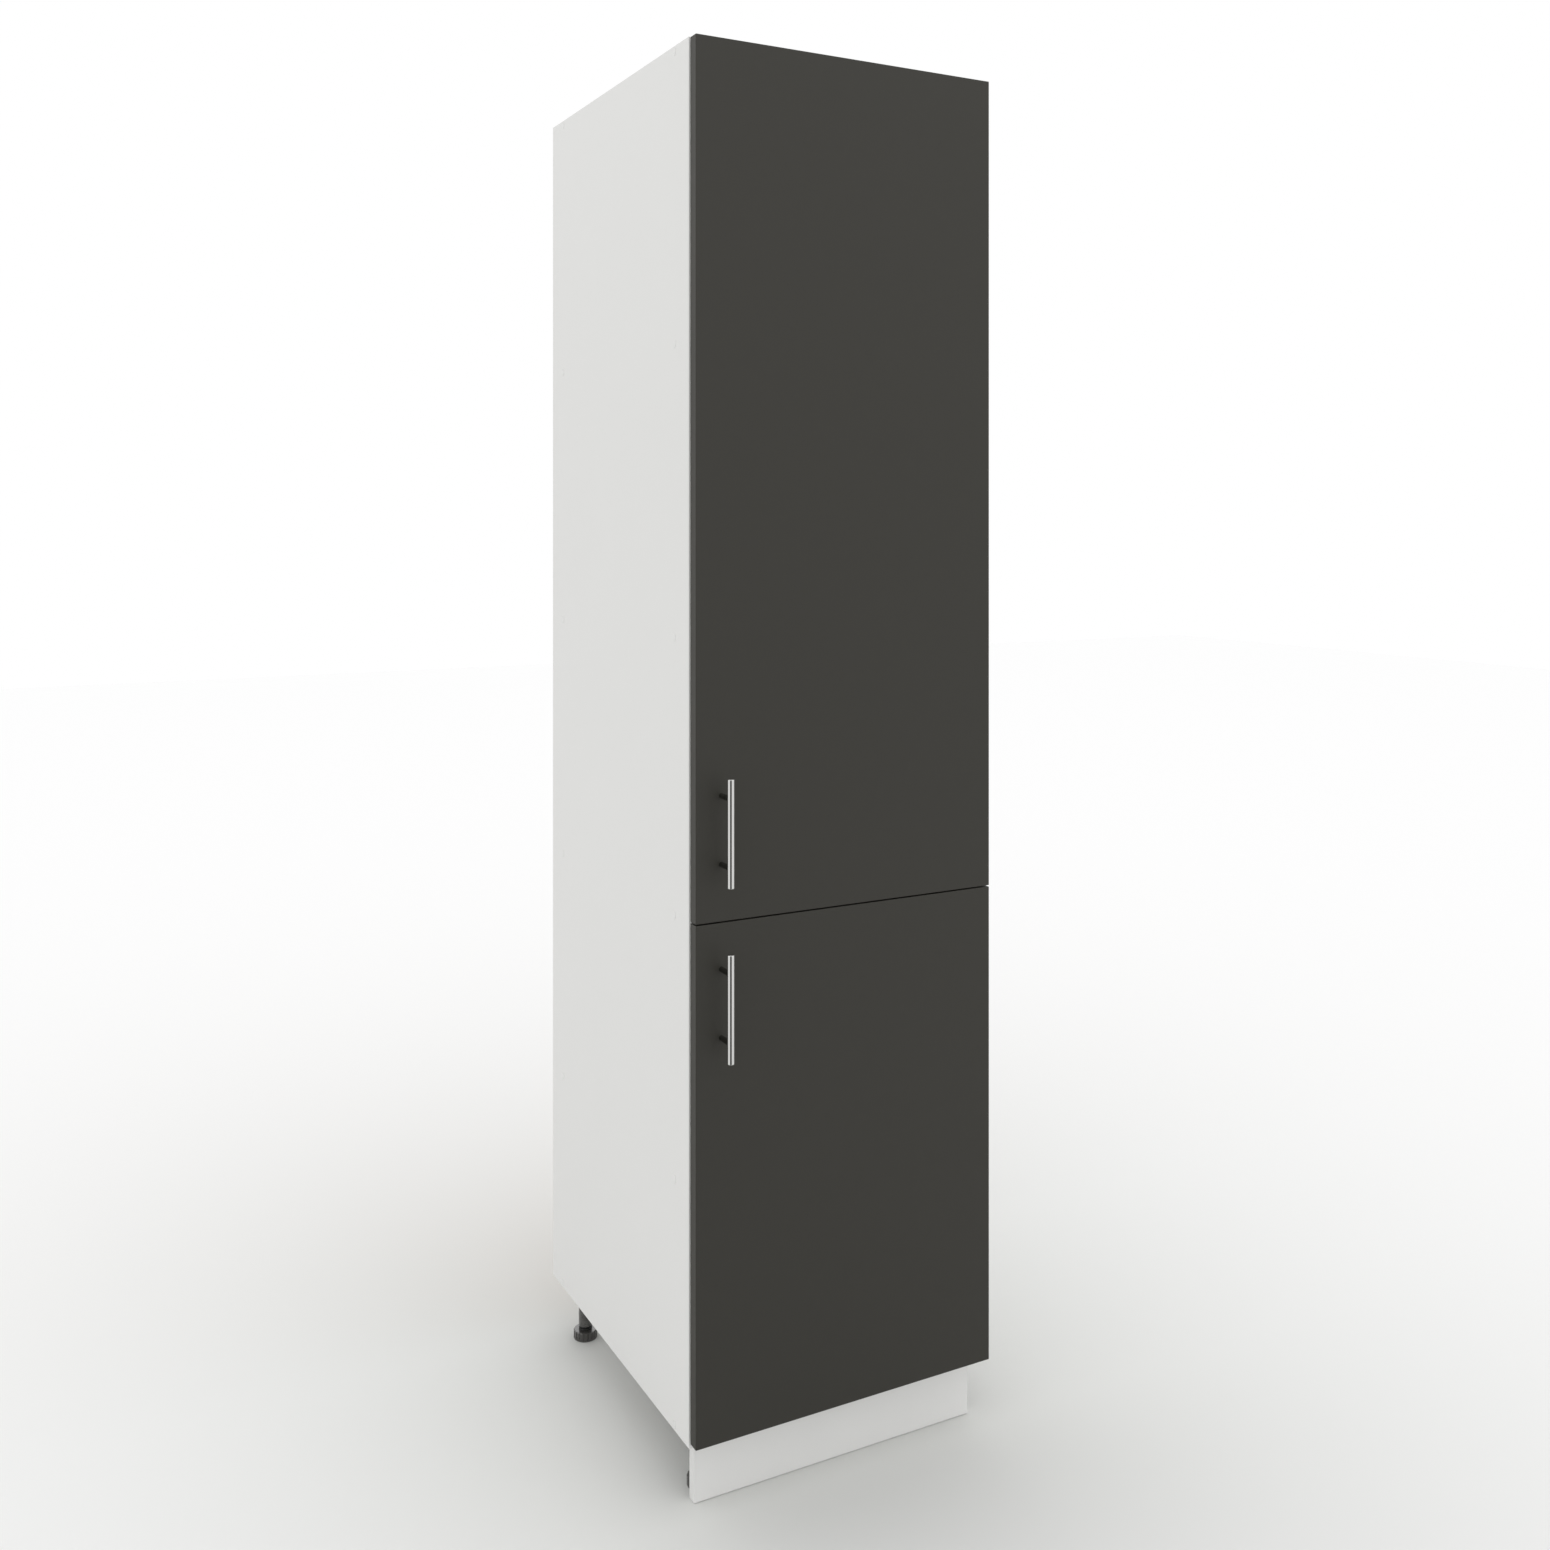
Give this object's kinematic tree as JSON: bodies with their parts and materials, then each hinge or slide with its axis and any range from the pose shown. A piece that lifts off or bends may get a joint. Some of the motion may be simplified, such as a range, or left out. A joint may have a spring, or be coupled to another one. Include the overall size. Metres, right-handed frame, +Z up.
{
  "type": "tall pantry cabinet",
  "caption": "Tall pantry cabinet with an upper and a lower side-hung door, bar handles, fixed shelves, a pull-off plinth and adjustable feet.",
  "frame": {"origin": "floor level, at the centre of the bounding box in X and Y, with the handles and the back's nail heads included", "axes": "+X to the right as seen from the front, +Y from the doors to the back, +Z up"},
  "size_m": [0.5012, 0.6184, 2.066],
  "materials": {
    "white_board": "matt white laminate on particle board",
    "dark_board": "matt warm dark grey laminate on particle board",
    "back_sheet": "bare brown fibreboard, painted white on the inside",
    "dowel_wood": "bare beech",
    "handle_steel": "satin",
    "hinge_steel": "nickel plated",
    "screw_steel": "zinc plated",
    "bracket_steel": "zinc plated",
    "leg_plastic": "moulded dark grey",
    "clip_plastic": "moulded dark grey",
    "cap_plastic": "moulded white",
    "bumper_rubber": "soft, nearly clear"
  },
  "bodies": {
    "carcass": {"side_panel_left": "white_board", "side_panel_right": "white_board", "top_panel": "white_board", "bottom_panel": "white_board", "middle_shelf": "white_board", "lower_shelf": "white_board", "upper_shelf_low": "white_board", "upper_shelf_high": "white_board", "back_panel_upper": "back_sheet", "back_panel_lower": "back_sheet", "back_panel_nails": "screw_steel", "carcass_screws": "screw_steel", "wall_bracket_screws": "screw_steel", "leg_socket_screws": "screw_steel", "hinge_plate_screws": "screw_steel", "hinge_arm_screws": "screw_steel", "screw_caps_left": "cap_plastic", "screw_caps_right": "cap_plastic", "dowels": "dowel_wood", "wall_brackets": "bracket_steel", "leg_socket_front_left": "leg_plastic", "leg_tube_front_left": "leg_plastic", "leg_socket_front_right": "leg_plastic", "leg_tube_front_right": "leg_plastic", "leg_socket_back_left": "leg_plastic", "leg_tube_back_left": "leg_plastic", "leg_socket_back_right": "leg_plastic", "leg_tube_back_right": "leg_plastic", "upper_hinge_arms": "hinge_steel", "upper_hinge_plates": "hinge_steel", "upper_hinge_pins": "hinge_steel", "lower_hinge_arms": "hinge_steel", "lower_hinge_plates": "hinge_steel", "lower_hinge_pins": "hinge_steel"},
    "upper_door_leaf": {"upper_door": "dark_board", "upper_handle_bar": "handle_steel", "upper_handle_post_bottom": "handle_steel", "upper_handle_post_top": "handle_steel", "upper_handle_screws": "screw_steel", "upper_door_bumpers": "bumper_rubber", "upper_hinge_cups": "hinge_steel", "upper_hinge_cup_screws": "screw_steel"},
    "upper_door_links": {"upper_hinge_links": "hinge_steel"},
    "lower_door_leaf": {"lower_door": "dark_board", "lower_handle_bar": "handle_steel", "lower_handle_post_bottom": "handle_steel", "lower_handle_post_top": "handle_steel", "lower_handle_screws": "screw_steel", "lower_door_bumpers": "bumper_rubber", "lower_hinge_cups": "hinge_steel", "lower_hinge_cup_screws": "screw_steel"},
    "lower_door_links": {"lower_hinge_links": "hinge_steel"},
    "front_left_foot": {"foot_front_left": "leg_plastic"},
    "front_right_foot": {"foot_front_right": "leg_plastic"},
    "back_left_foot": {"foot_back_left": "leg_plastic"},
    "back_right_foot": {"foot_back_right": "leg_plastic"},
    "plinth": {"plinth_board": "white_board", "plinth_clip_left": "clip_plastic", "plinth_clip_right": "clip_plastic", "plinth_clip_screws": "screw_steel"}
  },
  "joints": [
    {"name": "upper_door_hinge", "type": "hinge", "parent": "carcass", "child": "upper_door_leaf", "pos_m": [0.243, -0.26775, 1.447], "axis": [0, 0, 1], "range_deg": [0, 105]},
    {"name": "upper_link_pivot", "type": "hinge", "parent": "carcass", "child": "upper_door_links", "pos_m": [0.229, -0.25825, 1.447], "axis": [0, 0, 1], "range_deg": [0, 90]},
    {"name": "lower_door_hinge", "type": "hinge", "parent": "carcass", "child": "lower_door_leaf", "pos_m": [0.243, -0.26775, 0.4625], "axis": [0, 0, 1], "range_deg": [0, 105]},
    {"name": "lower_link_pivot", "type": "hinge", "parent": "carcass", "child": "lower_door_links", "pos_m": [0.229, -0.25825, 0.4625], "axis": [0, 0, 1], "range_deg": [0, 90]},
    {"name": "front_left_foot_screw", "type": "slide", "parent": "carcass", "child": "front_left_foot", "axis": [0, 0, 1], "range_m": [-0.012, 0.003]},
    {"name": "front_right_foot_screw", "type": "slide", "parent": "carcass", "child": "front_right_foot", "axis": [0, 0, 1], "range_m": [-0.012, 0.003]},
    {"name": "back_left_foot_screw", "type": "slide", "parent": "carcass", "child": "back_left_foot", "axis": [0, 0, 1], "range_m": [-0.012, 0.003]},
    {"name": "back_right_foot_screw", "type": "slide", "parent": "carcass", "child": "back_right_foot", "axis": [0, 0, 1], "range_m": [-0.012, 0.003]},
    {"name": "plinth_pull", "type": "slide", "parent": "carcass", "child": "plinth", "axis": [0, -1, 0], "range_m": [0, 0.06]}
  ],
  "couplings": [
    {"joint": "upper_link_pivot", "follows": "upper_door_hinge", "ratio": 0.85},
    {"joint": "lower_link_pivot", "follows": "lower_door_hinge", "ratio": 0.85}
  ]
}
